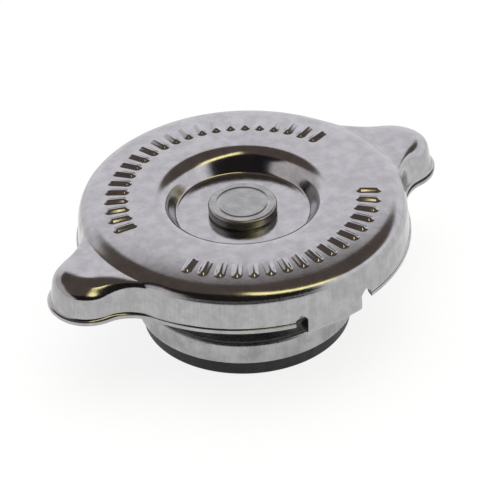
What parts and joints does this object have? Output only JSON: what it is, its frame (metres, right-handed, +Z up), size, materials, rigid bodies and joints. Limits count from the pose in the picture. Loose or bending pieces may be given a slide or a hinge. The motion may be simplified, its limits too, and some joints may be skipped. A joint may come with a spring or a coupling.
{
  "type": "radiator cap",
  "caption": "Pressed-steel radiator cap with finger ears, a dished crown and swivel rivet, locking tabs, and a sprung pressure valve that carries a rubber seal and a vacuum valve.",
  "frame": {"origin": "centre of the main gasket's underside, which is the lowest face", "axes": "+Z up along the rivet, +X along the two ears, +Y across them"},
  "size_m": [0.0802, 0.0588, 0.0257],
  "materials": {
    "polished_steel": "bright pressed sheet with fine drawing marks",
    "zinc_steel": "zinc-plated, slightly cloudy",
    "spring_steel": "bright spring steel",
    "rubber": "smooth black moulded rubber",
    "brass": "turned brass"
  },
  "bodies": {
    "outer_shell": {"outer_cap": "polished_steel"},
    "bell_assembly": {"centre_rivet": "zinc_steel", "friction_washer": "brass", "spring_diaphragm": "spring_steel", "upper_gasket": "rubber", "bell_housing": "zinc_steel", "rivet_washer": "zinc_steel", "main_spring": "spring_steel"},
    "pressure_valve_assembly": {"valve_cup": "zinc_steel", "main_gasket": "rubber", "gasket_retainer": "zinc_steel", "valve_eyelet": "brass", "vacuum_spring": "spring_steel"},
    "vacuum_valve_assembly": {"vacuum_valve": "brass", "vacuum_seal": "rubber", "spring_collar": "brass"}
  },
  "joints": [
    {"name": "cap_swivel", "type": "hinge", "parent": "outer_shell", "child": "bell_assembly", "pos_m": [0, 0, 0.0217], "axis": [0, 0, 1], "continuous": true},
    {"name": "pressure_lift", "type": "slide", "parent": "bell_assembly", "child": "pressure_valve_assembly", "axis": [0, 0, 1], "range_m": [0, 0.002], "stiffness_N_per_m": 5000, "springref_m": -0.014, "deforming": ["main_spring"]},
    {"name": "vacuum_open", "type": "slide", "parent": "pressure_valve_assembly", "child": "vacuum_valve_assembly", "axis": [0, 0, -1], "range_m": [0, 0.0014], "stiffness_N_per_m": 80, "springref_m": -0.006, "deforming": ["vacuum_spring"]}
  ]
}
